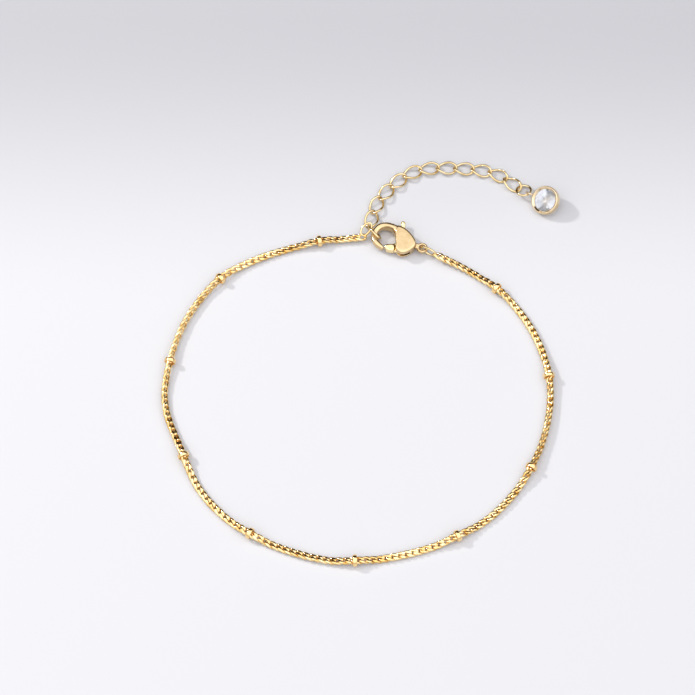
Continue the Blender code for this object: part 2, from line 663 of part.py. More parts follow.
def build_drop(root, last, beyond):
    along = (beyond - last).normalized()
    across = Vector((-along.y, along.x, 0))
    heading = math.atan2(along.y, along.x)

    # The jump ring lies tilted through the last link and the bezel's eye.
    points = oval(JUMP_RING_DIAMETER, JUMP_RING_DIAMETER, WIRE)
    tilted = pose((0, 0, 0), yaw=heading, pitch=JUMP_RING_PITCH, roll=JUMP_RING_ROLL)
    ring_height = WIRE / 2 - min((tilted @ Vector(point)).z for point in points)
    offset_along, offset_across, lift = JUMP_RING_OFFSET
    ring_centre = last + along * offset_along + across * offset_across
    ring_frame = Matrix.Translation((ring_centre.x, ring_centre.y, ring_height + lift)) @ tilted
    wire_loop("jump_ring", points, WIRE, ring_frame, gold("jump_ring_gold"), root)
    far_wire = ring_frame @ Vector(((JUMP_RING_DIAMETER - WIRE) / 2, 0, 0))

    # The bezel rests on its conical back, so it leans by the cone's own slope.
    radius = BEZEL_DIAMETER / 2
    back = BEZEL_BACK_DIAMETER / 2
    slope = math.tan(BEZEL_LEAN)
    back_height = -BEZEL_SIDE - (radius - back) * slope
    seat = BEZEL_SIDE * math.cos(BEZEL_LEAN) + radius * math.sin(BEZEL_LEAN)
    lip = BEZEL_LIP_DIAMETER / 2
    bay = STONE_DIAMETER / 2 + STONE_CLEARANCE
    bay_top = -BEZEL_LIP_HEIGHT - BEZEL_SEAT_STEP
    floor = back_height + BEZEL_FLOOR
    profile = [
        (0, back_height), (back, back_height), (radius, -BEZEL_SIDE), (radius, -BEZEL_WALL),
        (radius - BEZEL_WALL * 0.3, -BEZEL_WALL * 0.3), (radius - BEZEL_WALL, 0.0),
        (lip + BEZEL_WALL * 0.4, 0.0), (lip, -BEZEL_WALL * 0.5), (lip, -BEZEL_LIP_HEIGHT),
        (bay, bay_top), (bay, bay_top - BEZEL_BAY_DEPTH), (back, floor), (0, floor),
    ]
    eye_middle = (BEZEL_EYE_DIAMETER - BEZEL_EYE_WIRE) / 2
    reach = radius + eye_middle - BEZEL_EYE_SINK
    play = eye_middle - BEZEL_EYE_WIRE / 2 - WIRE / 2 - LINK_PLAY
    # Lean the cup, then turn it about its own axis so that its eye looks back at the ring.
    lean = Matrix.Rotation(BEZEL_LEAN_HEADING, 4, "Z") @ Matrix.Rotation(BEZEL_LEAN, 4, "Y")
    spin = heading + BEZEL_TURN + math.pi - BEZEL_LEAN_HEADING
    outward = lean @ Vector((math.cos(spin), math.sin(spin), 0))
    upward = lean @ Vector((0, 0, 1))
    eye_place = far_wire - outward * play
    eye_height = (eye_place.z - seat - outward.z * reach) / upward.z
    centre = eye_place - outward * reach - upward * eye_height
    frame = Matrix.Translation(centre) @ lean @ Matrix.Rotation(spin, 4, "Z")
    metal = gold("drop_bezel_gold", 0.16)
    bezel = finish_mesh("drop_bezel", lathe(profile, ROUND_SIDES), frame, metal, root)
    eye_ring = lathe(ring_profile(eye_middle - BEZEL_EYE_WIRE / 2, eye_middle + BEZEL_EYE_WIRE / 2,
                                  BEZEL_EYE_WIRE, 1.0, 8), STATION_SIDES)
    upright = Matrix.Rotation(math.radians(90), 4, "X")
    eye_ring.transform(Matrix.Translation((reach, 0, eye_height)) @ upright)
    eye = finish_mesh("bezel_eye_tool", eye_ring, frame, metal, root)
    combine(bezel, [("UNION", eye)])

    crystal = make_material("drop_stone_crystal", (0.95, 0.96, 0.98), 0.02, 0.0, 1.0)
    stone = brilliant(STONE_DIAMETER / 2, STONE_CROWN, STONE_PAVILION, STONE_GIRDLE)
    girdle_height = bay_top - STONE_CLEARANCE
    stone.transform(frame @ Matrix.Translation((0, 0, girdle_height)))
    mesh = bpy.data.meshes.new("drop_stone")
    stone.to_mesh(mesh)
    stone.free()
    add_object("drop_stone", mesh, crystal, root)


def stand_on_origin(root):
    """Moves the part so that the bottom centre of its box is at the world's origin."""
    bpy.context.view_layer.update()
    depsgraph = bpy.context.evaluated_depsgraph_get()
    low = Vector((1e9, 1e9, 1e9))
    high = -low
    for item in bpy.data.objects:
        if item.type not in {"MESH", "CURVE"}:
            continue
        mesh = item.evaluated_get(depsgraph).to_mesh()
        for vertex in mesh.vertices:
            point = item.matrix_world @ vertex.co
            low = Vector(map(min, low, point))
            high = Vector(map(max, high, point))
    root.location = (-(low.x + high.x) / 2, -(low.y + high.y) / 2, -low.z)


def main():
    clear_scene()
    root = bpy.data.objects.new("bracelet", None)
    bpy.context.collection.objects.link(root)
    build_clasp_body(root)
    build_clasp_lever(root)
    build_clasp_pin(root)
    build_hook_link(root)
    left_end, right_end = build_connectors(root)
    build_chain(root, left_end, right_end)
    last, beyond = build_extender(root)
    build_drop(root, last, beyond)
    stand_on_origin(root)


main()
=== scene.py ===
import json
import math
import random

import bmesh
import bpy
from mathutils import Matrix, Vector


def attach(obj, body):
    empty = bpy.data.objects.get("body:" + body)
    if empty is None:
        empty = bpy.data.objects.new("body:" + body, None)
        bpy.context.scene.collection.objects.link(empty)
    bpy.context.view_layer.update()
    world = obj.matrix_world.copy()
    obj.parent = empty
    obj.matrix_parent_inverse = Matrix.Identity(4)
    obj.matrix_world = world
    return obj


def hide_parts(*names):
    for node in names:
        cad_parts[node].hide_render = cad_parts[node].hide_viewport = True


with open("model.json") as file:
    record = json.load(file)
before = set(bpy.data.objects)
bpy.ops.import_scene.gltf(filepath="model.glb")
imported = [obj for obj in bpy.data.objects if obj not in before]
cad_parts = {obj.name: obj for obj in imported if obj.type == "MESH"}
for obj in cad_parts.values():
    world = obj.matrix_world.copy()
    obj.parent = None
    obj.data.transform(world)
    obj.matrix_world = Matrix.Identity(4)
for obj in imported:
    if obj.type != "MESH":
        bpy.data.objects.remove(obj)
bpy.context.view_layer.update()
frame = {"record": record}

MM = 0.001
RANDOM_SEED = 7
random.seed(RANDOM_SEED)

# The clasp's pivot in the table plan, which the record's one mount places in the model's frame.
CLASP_CENTRE = (8.68 * MM, 17.45 * MM)
CLASP_YAW = math.radians(-18.45)
CLASP_THICKNESS = 2.00 * MM
MOUNT = frame["record"]["mounts"][0]["pos_m"]
PLAN = Matrix.Translation((MOUNT[0] - CLASP_CENTRE[0], MOUNT[1] - CLASP_CENTRE[1], 0.0))

# Camera: the photograph's angle, from a hand's reach above the table.
CAMERA_ELEVATION = math.radians(64)
CAMERA_DISTANCE = 420 * MM
CAMERA_CLIP_START = 10 * MM
PIXELS_PER_MM = 6.6
IMAGE_SIZE = 695
SENSOR_WIDTH = 36.0

# Studio: white all round but dark behind the table, low down from NORTH on and at every height
# from BACK on. The limits are the direction's own Z (BAND) and Y (NORTH, BACK).
WORLD_NORTH_START = -0.05
WORLD_NORTH_END = 0.30
WORLD_BAND_LOW = 0.25
WORLD_BAND_HIGH = 0.50
WORLD_BACK_START = 0.42
WORLD_BACK_END = 0.64
WORLD_STRENGTH = 1.71
WORLD_FLOOR_COLOUR = (0.24, 0.22, 0.20, 1)
WORLD_MIDDLE_COLOUR = (0.80, 0.80, 0.84, 1)
WORLD_MIDDLE = 0.62
WORLD_TOP_COLOUR = (1.12, 1.12, 1.16, 1)
WORLD_DARK_COLOUR = (0.035, 0.028, 0.022, 1)
KEY_HEADING = 152
KEY_ELEVATION = 38
KEY_DISTANCE = 800 * MM
KEY_SIZE = 60 * MM
KEY_POWER = 3.1
KEY_COLOUR = (1.0, 0.985, 0.96)

# Table: just under the pieces, with painted shade that turns it greyer away from the camera from the
# change's start to its end.
TABLE_REACH = 900 * MM
TABLE_DROP = 0.004 * MM
TABLE_ROUGHNESS = 0.75
TABLE_NEAR_COLOUR = (0.60, 0.60, 0.612, 1.0)
# Painted shade: the far colour is greyer than the near one.
TABLE_FAR_SHADE_COLOUR = (0.420, 0.420, 0.436, 1.0)
TABLE_SHADE_START = 8 * MM
TABLE_SHADE_END = 62 * MM

# Plating: the shares of the cloud noise between which the tone and the polish change, and the
# dull and the bright end of the polish as shares of a gold's own roughness.
CLOUD_SCALE = 900.0
CLOUD_DETAIL = 3.0
TONE_START = 0.35
TONE_END = 0.60
POLISH_START = 0.3
POLISH_END = 0.7
POLISH_DULL = 1.35
POLISH_BRIGHT = 0.75
CAST_CLOUD_SCALE = 700.0
CAST_GRAIN = 0.04
GRAIN_DEPTH = 0.02 * MM

# Edges stay sharp above these angles in degrees.
WIRE_SHARP = 40
CURB_SHARP = 55
STATION_SHARP = 60
BEZEL_SHARP = 45

# Smooth curves: steps between two points, and halvings of the search for a place on them.
ROUTE_STEPS = 24
SEARCH_STEPS = 40

# Fine curb chain.
CHAIN_END_GAP = 0.35 * MM
CHAIN_ROUTE = [
    (19.66, 12.10), (25.42, 6.91), (29.12, 0.00), (30.46, -7.65), (29.20, -15.38),
    (25.86, -22.45), (20.62, -28.27), (13.82, -32.15), (6.32, -34.32), (-1.50, -34.94),
    (-9.11, -33.10), (-16.09, -29.53), (-21.56, -23.97), (-24.88, -16.88), (-27.33, -9.51),
    (-26.54, -1.71), (-23.81, 5.60), (-18.97, 11.75), (-12.17, 15.56), (-4.64, 17.76),
]
CURB_PITCH = 1.015 * MM
CURB_WIRE = 0.42 * MM
CURB_LENGTH = 1.98 * MM
CURB_WIDTH = 1.20 * MM
CURB_TWIST = math.radians(120)
CURB_SQUARENESS = 0.72
CURB_FILED_HEIGHT = 0.30 * MM
CURB_SEAT = 0.05 * MM
CURB_SEGMENTS = 24
CURB_SIDES = 8
# Uneven lie of the single links in degrees, to either side.
CURB_ROLL_PLAY = 5
CURB_YAW_PLAY = 3
# Roll of the chain about its own line: distance along it in millimetres, then degrees.
CURB_ROLL = [
    (-2, 0), (8, -14), (20, 8), (28, 34), (40, 40), (48, 6), (66, -8), (80, 14), (95, -12), (106, 10),
    (113, 24), (119, 48), (125, 62), (134, 52), (139, 46), (144, 20), (154, -12), (166, 6),
]

# Station beads.
STATION_PITCH = 16.15 * MM
STATION_FIRST = 10.30 * MM
STATION_DIAMETER = 1.78 * MM
STATION_LENGTH = 0.64 * MM
STATION_BORE = 1.30 * MM
STATION_SIDES = 64
RING_SQUARENESS = 0.8
RING_STEPS = 24
STATION_LIFT_LENGTH = 3.2 * MM
# How far each bead has slid from its even place, in millimetres.
STATION_DRIFT = [0.0, 0.8, 0.2, -0.1, -0.6, -0.6, -0.4, -0.4, -0.5, 0.0]

# Wire links.
WIRE = 0.36 * MM
LINK_PLAY = 0.10 * MM
LINK_LENGTH = 3.54 * MM
LINK_WIDTH = 2.30 * MM
LINK_TWIST = math.radians(84)
EXTENDER_LINKS = 11
EXTENDER_ROUTE = [
    (0.00, 0.00), (0.76, 2.55), (2.45, 5.10), (4.45, 7.10), (6.80, 8.60), (9.35, 9.20),
    (12.05, 9.25), (14.85, 9.10), (17.50, 8.75), (20.05, 7.85), (22.00, 6.40),
    (23.90, 4.75), (26.70, 2.75), (30.00, 0.20),
]
HOOK_LINK_SIZE = (3.40 * MM, 2.25 * MM)
CONNECTOR_LEFT_SIZE = (2.60 * MM, 1.60 * MM)
CONNECTOR_RIGHT_SIZE = (3.00 * MM, 2.00 * MM)
LINK_SEGMENTS = 56
LINK_SIDES = 12
# The solids' links have fewer segments. Their lowest point sets the height of these too.
SOLID_LINK_SEGMENTS = 16
# Places on the clasp from its pivot, and links by the hook's far point: x and y as shares of
# LINK_LENGTH, height as a share of LINK_WIDTH, then yaw, pitch and roll in degrees.
HOOK_FAR_POINT = (-4.78 * MM, 0.20 * MM)
HOOK_LINK_POSE = (-0.017, 0.059, 0.449, 123, -9.5, 61.5)
EXTENDER_FIRST_POSE = (-0.136, 0.715, 0.283, 75.5, 0, 0)
CONNECTOR_LEFT_POSE = (-0.373, 0.161, 0.540, 50.5, 18.5, 19)
EYE_CENTRE = 2.97 * MM
EYE_HOLE = 0.86 * MM

# Cast clasp: the solid's own form with the soft edges of a polished casting.
CAST_VOXEL = 0.055 * MM
CAST_SMOOTHING = 7
CAST_SMOOTH_FACTOR = 0.5

# Crystal drop. The jump ring's offset is along and across the extender's end, then up.
JUMP_RING_DIAMETER = 2.60 * MM
JUMP_RING_PITCH = math.radians(16)
JUMP_RING_ROLL = math.radians(-10)
JUMP_RING_OFFSET = (2.16 * MM, 0.14 * MM, 0.20 * MM)
BEZEL_DIAMETER = 4.48 * MM
BEZEL_SIDE = 0.95 * MM
BEZEL_LEAN = math.radians(32)
BEZEL_LEAN_HEADING = math.radians(210)
BEZEL_TURN = math.radians(10)
BEZEL_BACK_DIAMETER = 1.50 * MM
BEZEL_LIP_DIAMETER = 3.50 * MM
BEZEL_WALL = 0.20 * MM
BEZEL_EYE_DIAMETER = 1.50 * MM
BEZEL_EYE_WIRE = 0.30 * MM
BEZEL_EYE_SINK_SHARE = 0.35
BEZEL_EYE_STEPS = 16
BEZEL_EYE_SIDES = 48
BEZEL_SIDES = 96
# Rim and lip in shares of the wall: inwards and down from the outside, then outwards and down
# from the lip's edge.
BEZEL_RIM = [(0.0, 1.0), (0.12, 0.5), (0.45, 0.12), (1.0, 0.0)]
BEZEL_LIP = [(0.35, 1.1), (0.08, 1.35), (0.0, 1.6)]
BEZEL_LIP_DEPTH = 0.40 * MM
BEZEL_BAY_PLAY = 0.06 * MM
BEZEL_BAY_TOP = 0.44 * MM
BEZEL_BAY_END = 0.86 * MM
BEZEL_FLOOR = 0.10 * MM
BEZEL_FLOOR_SHARE = 0.4
BEZEL_SOFT_EDGE = 0.04 * MM
BEZEL_SOFT_SEGMENTS = 3
BEZEL_SOFT_ANGLE = math.radians(28)
STONE_DIAMETER = 3.64 * MM
STONE_GIRDLE_DEPTH = 0.50 * MM
STONE_GIRDLE = 0.08 * MM
STONE_CROWN = 0.36 * MM
STONE_PAVILION = 1.10 * MM
# Cut of the stone: its symmetry, then radii of the table, the stars and the lower halves as
# shares of the girdle's. Faces that look further down than STONE_UNDER carry the foil.
STONE_FOLD = 8
STONE_TABLE = 0.56
STONE_STAR = 0.78
STONE_LOWER = 0.30
STONE_UNDER = -0.2
CRYSTAL_COLOUR = (0.97, 0.98, 1.0, 1.0)
CRYSTAL_IOR = 1.55
FOIL_COLOUR = (0.92, 0.93, 0.95, 1.0)
FOIL_METALLIC = 0.62
FOIL_ROUGHNESS = 0.04


def smooth_points(points, steps):
    """Points of a Catmull-Rom curve through the given points."""
    points = [Vector(point) for point in points]
    count = len(points)
    result = []
    for index in range(count - 1):
        b = points[index]
        c = points[index + 1]
        a = points[index - 1] if index > 0 else 2 * b - c
        d = points[index + 2] if index < count - 2 else 2 * c - b
        for step in range(steps):
            t = step / steps
            result.append(0.5 * (2 * b + (c - a) * t + (2 * a - 5 * b + 4 * c - d) * t ** 2
                                 + (3 * b - a - 3 * c + d) * t ** 3))
    result.append(points[-1])
    return result


class Route:
    """A smooth plan curve that is read by the length along it, also a little past its ends."""

    def __init__(self, points, steps=ROUTE_STEPS):
        self.points = smooth_points(points, steps)
        self.marks = [0.0]
        for a, b in zip(self.points, self.points[1:]):
            self.marks.append(self.marks[-1] + (b - a).length)
        self.length = self.marks[-1]

    def at(self, distance):
        index = 0
        while index < len(self.marks) - 2 and self.marks[index + 1] < distance:
            index += 1
        span = self.marks[index + 1] - self.marks[index]
        return self.points[index].lerp(self.points[index + 1], (distance - self.marks[index]) / span)

    def after(self, start, chord):
        """Length along the curve at which the straight distance from the start is the chord."""
        origin = self.at(start)
        low = start
        high = min(start + 2 * chord, self.length)
        for _ in range(SEARCH_STEPS):
            middle = (low + high) / 2
            if (self.at(middle) - origin).length < chord:
                low = middle
            else:
                high = middle
        return low


def pose(place, yaw=0.0, pitch=0.0, roll=0.0):
    """Roll, pitch with the front up, and yaw, then the move to the place."""
    turn = Matrix.Rotation(yaw, 4, "Z") @ Matrix.Rotation(-pitch, 4, "Y") @ Matrix.Rotation(roll, 4, "X")
    return Matrix.Translation(Vector(place)) @ turn


def read_table(table, value):
    """Eased reading of a table of (position, amount) rows."""
    for (x0, y0), (x1, y1) in zip(table, table[1:]):
        if value <= x1:
            share = min(max((value - x0) / (x1 - x0), 0.0), 1.0)
            share = share * share * (3 - 2 * share)
            return y0 + (y1 - y0) * share
    return table[-1][1]


def add_piece(name, mesh, material, body="bracelet", replaces=()):
    item = bpy.data.objects.new(name, mesh)
    bpy.context.collection.objects.link(item)
    item.data.materials.append(material)
    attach(item, body)
    if replaces:
        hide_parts(*replaces)
    return item


def shade(mesh, degrees=WIRE_SHARP):
    mesh.shade_smooth()
    mesh.set_sharp_from_angle(angle=math.radians(degrees))


def finish(shape, name, frame_matrix=None):
    if frame_matrix is not None:
        shape.transform(frame_matrix)
    mesh = bpy.data.meshes.new(name)
    shape.to_mesh(mesh)
    shape.free()
    return mesh


def oval(length, width, wire, twist=0.0, squareness=1.0, segments=LINK_SEGMENTS):
    """Middle line of a wire oval; a twist turns its two ends opposite ways about its length."""
    half_length = (length - wire) / 2
    half_width = (width - wire) / 2
    points = []
    for step in range(segments):
        angle = 2 * math.pi * (step + 0.5) / segments
        c = math.cos(angle)
        s = math.sin(angle)
        x = half_length * math.copysign(abs(c) ** squareness, c)
        y = half_width * math.copysign(abs(s) ** squareness, s)
        roll = twist * x / (2 * half_length)
        points.append(Vector((x, y * math.cos(roll), y * math.sin(roll))))
    return points


def add_wire_loop(shape, points, wire, place, sides, filed=None):
    """Round wire along a closed line; filed keeps it inside that height on both flat faces."""
    count = len(points)
    rings = []
    for index, point in enumerate(points):
        along = (points[(index + 1) % count] - points[index - 1]).normalized()
        outward = (point - along * point.dot(along)).normalized()
        other = along.cross(outward)
        ring = []
        for side in range(sides):
            angle = 2 * math.pi * side / sides
            corner = point + (outward * math.cos(angle) + other * math.sin(angle)) * (wire / 2)
            if filed is not None:
                corner.z = max(-filed, min(filed, corner.z))
            ring.append(shape.verts.new(place @ corner))
        rings.append(ring)
    for index, ring in enumerate(rings):
        beyond = rings[(index + 1) % count]
        for side in range(sides):
            n = (side + 1) % sides
            shape.faces.new((ring[side], ring[n], beyond[n], beyond[side]))


def wire_piece(name, size, place, material, node, twist=0.0):
    shape = bmesh.new()
    points = oval(size[0], size[1], WIRE, twist)
    add_wire_loop(shape, points, WIRE, PLAN @ place, LINK_SIDES)
    bmesh.ops.recalc_face_normals(shape, faces=shape.faces)
    mesh = finish(shape, name)
    shade(mesh)
    return add_piece(name, mesh, material, replaces=(node,))


def lathe(profile, sides):
    """Closed profile of (radius, height) turned about z; radius 0 is a point on the axis."""
    shape = bmesh.new()
    rows = []
    for radius, height in profile:
        if radius == 0:
            rows.append([shape.verts.new((0, 0, height))])
        else:
            angles = [2 * math.pi * k / sides for k in range(sides)]
            rows.append([shape.verts.new((radius * math.cos(a), radius * math.sin(a), height))
                         for a in angles])
    for lower, upper in zip(rows, rows[1:] + rows[:1]):
        if len(lower) == 1 and len(upper) == 1:
            continue
        for k in range(sides):
            n = (k + 1) % sides
            corners = [lower[k % len(lower)], lower[n % len(lower)],
                       upper[n % len(upper)], upper[k % len(upper)]]
            shape.faces.new(list(dict.fromkeys(corners)))
    bmesh.ops.recalc_face_normals(shape, faces=shape.faces)
    return shape


def ring_profile(inner, outer, thickness, squareness=1.0, steps=RING_STEPS):
    """Section of a ring as an oval, or nearer a box with a squareness under one."""
    middle = (inner + outer) / 2
    half = (outer - inner) / 2
    points = []
    for step in range(steps):
        angle = 2 * math.pi * (step + 0.5) / steps
        c = math.cos(angle)
        s = math.sin(angle)
        points.append((middle + half * math.copysign(abs(c) ** squareness, c),
                       thickness / 2 * math.copysign(abs(s) ** squareness, s)))
    return points


# Materials.

def gold(name, colour, deep, roughness, grain=0.0, cloud_scale=CLOUD_SCALE):
    """Plated gold: deeper and duller in faint clouds, and on the castings with a faint grain."""
    material = bpy.data.materials.new(name)
    material.use_nodes = True
    nodes = material.node_tree.nodes
    links = material.node_tree.links
    shader = nodes["Principled BSDF"]
    shader.inputs["Metallic"].default_value = 1.0
    place = nodes.new("ShaderNodeTexCoord")
    cloud = nodes.new("ShaderNodeTexNoise")
    cloud.inputs["Scale"].default_value = cloud_scale
    cloud.inputs["Detail"].default_value = CLOUD_DETAIL
    links.new(place.outputs["Object"], cloud.inputs["Vector"])
    tint = nodes.new("ShaderNodeMix")
    tint.data_type = "RGBA"
    tint.inputs["A"].default_value = (*deep, 1.0)
    tint.inputs["B"].default_value = (*colour, 1.0)
    ramp = nodes.new("ShaderNodeMapRange")
    ramp.inputs["From Min"].default_value = TONE_START
    ramp.inputs["From Max"].default_value = TONE_END
    links.new(cloud.outputs["Fac"], ramp.inputs["Value"])
    links.new(ramp.outputs["Result"], tint.inputs["Factor"])
    links.new(tint.outputs["Result"], shader.inputs["Base Color"])
    polish = nodes.new("ShaderNodeMapRange")
    polish.inputs["From Min"].default_value = POLISH_START
    polish.inputs["From Max"].default_value = POLISH_END
    polish.inputs["To Min"].default_value = roughness * POLISH_DULL
    polish.inputs["To Max"].default_value = roughness * POLISH_BRIGHT
    links.new(cloud.outputs["Fac"], polish.inputs["Value"])
    links.new(polish.outputs["Result"], shader.inputs["Roughness"])
    if grain:
        bump = nodes.new("ShaderNodeBump")
        bump.inputs["Strength"].default_value = grain
        bump.inputs["Distance"].default_value = GRAIN_DEPTH
        links.new(cloud.outputs["Fac"], bump.inputs["Height"])
        links.new(bump.outputs["Normal"], shader.inputs["Normal"])
    return material


def crystal_material():
    """Clear crystal for the crown."""
    material = bpy.data.materials.new("crystal_clear")
    material.use_nodes = True
    shader = material.node_tree.nodes["Principled BSDF"]
    shader.inputs["Base Color"].default_value = CRYSTAL_COLOUR
    shader.inputs["Roughness"].default_value = 0.0
    shader.inputs["IOR"].default_value = CRYSTAL_IOR
    shader.inputs["Transmission Weight"].default_value = 1.0
    return material


def foil_material():
    """Silvered underside of the crystal, only partly metal so that its facets stay soft."""
    material = bpy.data.materials.new("crystal_foil")
    material.use_nodes = True
    shader = material.node_tree.nodes["Principled BSDF"]
    shader.inputs["Base Color"].default_value = FOIL_COLOUR
    shader.inputs["Metallic"].default_value = FOIL_METALLIC
    shader.inputs["Roughness"].default_value = FOIL_ROUGHNESS
    return material


def floor_material():
    """Matt white table with painted shade, a little greyer away from the camera."""
    material = bpy.data.materials.new("table_white")
    material.use_nodes = True
    nodes = material.node_tree.nodes
    links = material.node_tree.links
    shader = nodes["Principled BSDF"]
    shader.inputs["Roughness"].default_value = TABLE_ROUGHNESS
    place = nodes.new("ShaderNodeTexCoord")
    split = nodes.new("ShaderNodeSeparateXYZ")
    links.new(place.outputs["Object"], split.inputs["Vector"])
    # Painted shade: the table turns greyer towards its far side, along its Y.
    ramp = nodes.new("ShaderNodeMapRange")
    ramp.interpolation_type = "SMOOTHSTEP"
    ramp.inputs["From Min"].default_value = TABLE_SHADE_START
    ramp.inputs["From Max"].default_value = TABLE_SHADE_END
    links.new(split.outputs["Y"], ramp.inputs["Value"])
    tint = nodes.new("ShaderNodeMix")
    tint.data_type = "RGBA"
    tint.inputs["A"].default_value = TABLE_NEAR_COLOUR
    tint.inputs["B"].default_value = TABLE_FAR_SHADE_COLOUR
    links.new(ramp.outputs["Result"], tint.inputs["Factor"])
    links.new(tint.outputs["Result"], shader.inputs["Base Color"])
    return material


# Bright tone, deep tone and roughness of each gold.
CHAIN_GOLD = gold("chain_plating", (0.96, 0.76, 0.42), (0.74, 0.48, 0.16), 0.06)
BEAD_GOLD = gold("bead_plating", (1.0, 0.73, 0.36), (0.95, 0.65, 0.27), 0.06)
LINK_GOLD = gold("link_plating", (0.86, 0.70, 0.42), (0.72, 0.54, 0.26), 0.05)
CLASP_GOLD = gold("clasp_plating", (0.70, 0.53, 0.30), (0.65, 0.47, 0.24), 0.13,
                  CAST_GRAIN, CAST_CLOUD_SCALE)
LEVER_GOLD = gold("lever_plating", (0.92, 0.74, 0.42), (0.88, 0.67, 0.34), 0.13,
                  CAST_GRAIN, CAST_CLOUD_SCALE)
BEZEL_GOLD = gold("bezel_plating", (0.82, 0.67, 0.46), (0.74, 0.57, 0.33), 0.05)


# Wire links.

def clasp_frame():
    return pose((*CLASP_CENTRE, CLASP_THICKNESS / 2), yaw=CLASP_YAW)


def hanging_pose(row):
    x, y, height, yaw, pitch, roll = row
    far = clasp_frame() @ Vector((*HOOK_FAR_POINT, 0))
    place = (far.x + x * LINK_LENGTH, far.y + y * LINK_LENGTH, height * LINK_WIDTH)
    return pose(place, math.radians(yaw), math.radians(pitch), math.radians(roll))


def connector_right_frame():
    first = Vector((CHAIN_ROUTE[0][0] * MM, CHAIN_ROUTE[0][1] * MM, CLASP_THICKNESS / 2))
    eye = clasp_frame() @ Vector((EYE_CENTRE, 0, 0))
    away = (first - eye).normalized()
    end_from_eye = EYE_HOLE / 2 - WIRE / 2 - LINK_PLAY / 2
    centre = eye + away * (end_from_eye + (CONNECTOR_RIGHT_SIZE[0] - WIRE) / 2 - 2 * end_from_eye)
    return pose(centre, yaw=math.atan2(away.y, away.x), roll=math.radians(90))


def build_links():
    wire_piece("hook_link_wire", HOOK_LINK_SIZE, hanging_pose(HOOK_LINK_POSE), LINK_GOLD, "hook_link")
    left = hanging_pose(CONNECTOR_LEFT_POSE)
    wire_piece("connector_left_wire", CONNECTOR_LEFT_SIZE, left, LINK_GOLD, "connector_left")
    right = connector_right_frame()
    wire_piece("connector_right_wire", CONNECTOR_RIGHT_SIZE, right, LINK_GOLD, "connector_right")
    left_end = left @ Vector((-CONNECTOR_LEFT_SIZE[0] / 2 - CHAIN_END_GAP, 0, 0))
    right_end = right @ Vector((CONNECTOR_RIGHT_SIZE[0] / 2 + CHAIN_END_GAP, 0, 0))
    return left_end, right_end


def build_extender():
    first = hanging_pose(EXTENDER_FIRST_POSE)
    start = first.to_translation()
    route = Route([(start.x + x * MM, start.y + y * MM, 0) for x, y in EXTENDER_ROUTE])
    pitch = LINK_LENGTH - 2 * WIRE - LINK_PLAY
    mark = 0.0
    centres = [route.at(0.0)]
    for _ in range(EXTENDER_LINKS + 1):
        mark = route.after(mark, pitch)
        centres.append(route.at(mark))
    points = oval(LINK_LENGTH, LINK_WIDTH, WIRE, LINK_TWIST, segments=SOLID_LINK_SEGMENTS)
    height = WIRE / 2 - min(point.z for point in points)
    for number in range(EXTENDER_LINKS):
        here = centres[number]
        along = centres[number + 1] - centres[max(number - 1, 0)]
        place = pose((here.x, here.y, height), yaw=math.atan2(along.y, along.x))
        if number == 0:
            place = first
        node = f"extender_link_{number + 1:02d}"
        wire_piece(node + "_wire", (LINK_LENGTH, LINK_WIDTH), place, LINK_GOLD, node, LINK_TWIST)
    return centres[EXTENDER_LINKS - 1], centres[EXTENDER_LINKS]


# Fine chain and its beads.

def station_marks():
    return [STATION_FIRST + STATION_PITCH * k + drift * MM for k, drift in enumerate(STATION_DRIFT)]


def chain_height(distance, rest, ends, length):
    """Height of the chain's middle line: on the table, up in each bead and at both ends."""
    lifted = STATION_DIAMETER / 2
    height = rest
    for place in station_marks():
        away = max(abs(distance - place) - STATION_LENGTH, 0.0)
        share = max(1.0 - away / STATION_LIFT_LENGTH, 0.0)
        height = max(height, rest + (lifted - rest) * share * share * (3 - 2 * share))
    for place, top in ((0.0, ends[0]), (length, ends[1])):
        share = max(1.0 - abs(distance - place) / (2 * STATION_LIFT_LENGTH), 0.0)
        height = max(height, rest + (top - rest) * share * share * (3 - 2 * share))
    return height


def build_chain(left_end, right_end):
    plan = [(right_end.x, right_end.y, 0)]
    plan += [(x * MM, y * MM, 0) for x, y in CHAIN_ROUTE]
    plan += [(left_end.x, left_end.y, 0)]
    route = Route(plan)
    ends = (right_end.z, left_end.z)

    def line_point(distance):
        roll = math.radians(read_table(CURB_ROLL, distance / MM))
        rest = CURB_FILED_HEIGHT * abs(math.cos(roll)) + CURB_WIDTH / 2 * abs(math.sin(roll)) + CURB_SEAT
        point = route.at(distance)
        return Vector((point.x, point.y, chain_height(distance, rest, ends, route.length)))

    # The end links reach through the connectors: their middles lie this far inside the ends.
    inset = CHAIN_END_GAP + WIRE + CURB_WIRE - CURB_LENGTH / 2
    start = -inset
    stop = route.length + inset
    count = round((stop - start) / CURB_PITCH)
    shape = bmesh.new()
    points = oval(CURB_LENGTH, CURB_WIDTH, CURB_WIRE, CURB_TWIST, CURB_SQUARENESS, CURB_SEGMENTS)
    for index in range(count + 1):
        mark = start + (stop - start) * index / count
        along = line_point(mark + CURB_PITCH / 2) - line_point(mark - CURB_PITCH / 2)
        flat = math.hypot(along.x, along.y)
        roll_play = random.uniform(-CURB_ROLL_PLAY, CURB_ROLL_PLAY)
        yaw_play = random.uniform(-CURB_YAW_PLAY, CURB_YAW_PLAY)
        roll = math.radians(read_table(CURB_ROLL, mark / MM) + roll_play)
        yaw = math.atan2(along.y, along.x) + math.radians(yaw_play)
        place = pose(line_point(mark), yaw, math.atan2(along.z, flat), roll)
        add_wire_loop(shape, points, CURB_WIRE, PLAN @ place, CURB_SIDES, CURB_FILED_HEIGHT)
    bmesh.ops.recalc_face_normals(shape, faces=shape.faces)
    mesh = finish(shape, "curb_chain")
    shade(mesh, CURB_SHARP)
    add_piece("curb_chain", mesh, CHAIN_GOLD, replaces=("chain",))

    for number, mark in enumerate(station_marks(), 1):
        before = route.at(mark - STATION_LENGTH)
        beyond = route.at(mark + STATION_LENGTH)
        build_station(number, before, beyond)


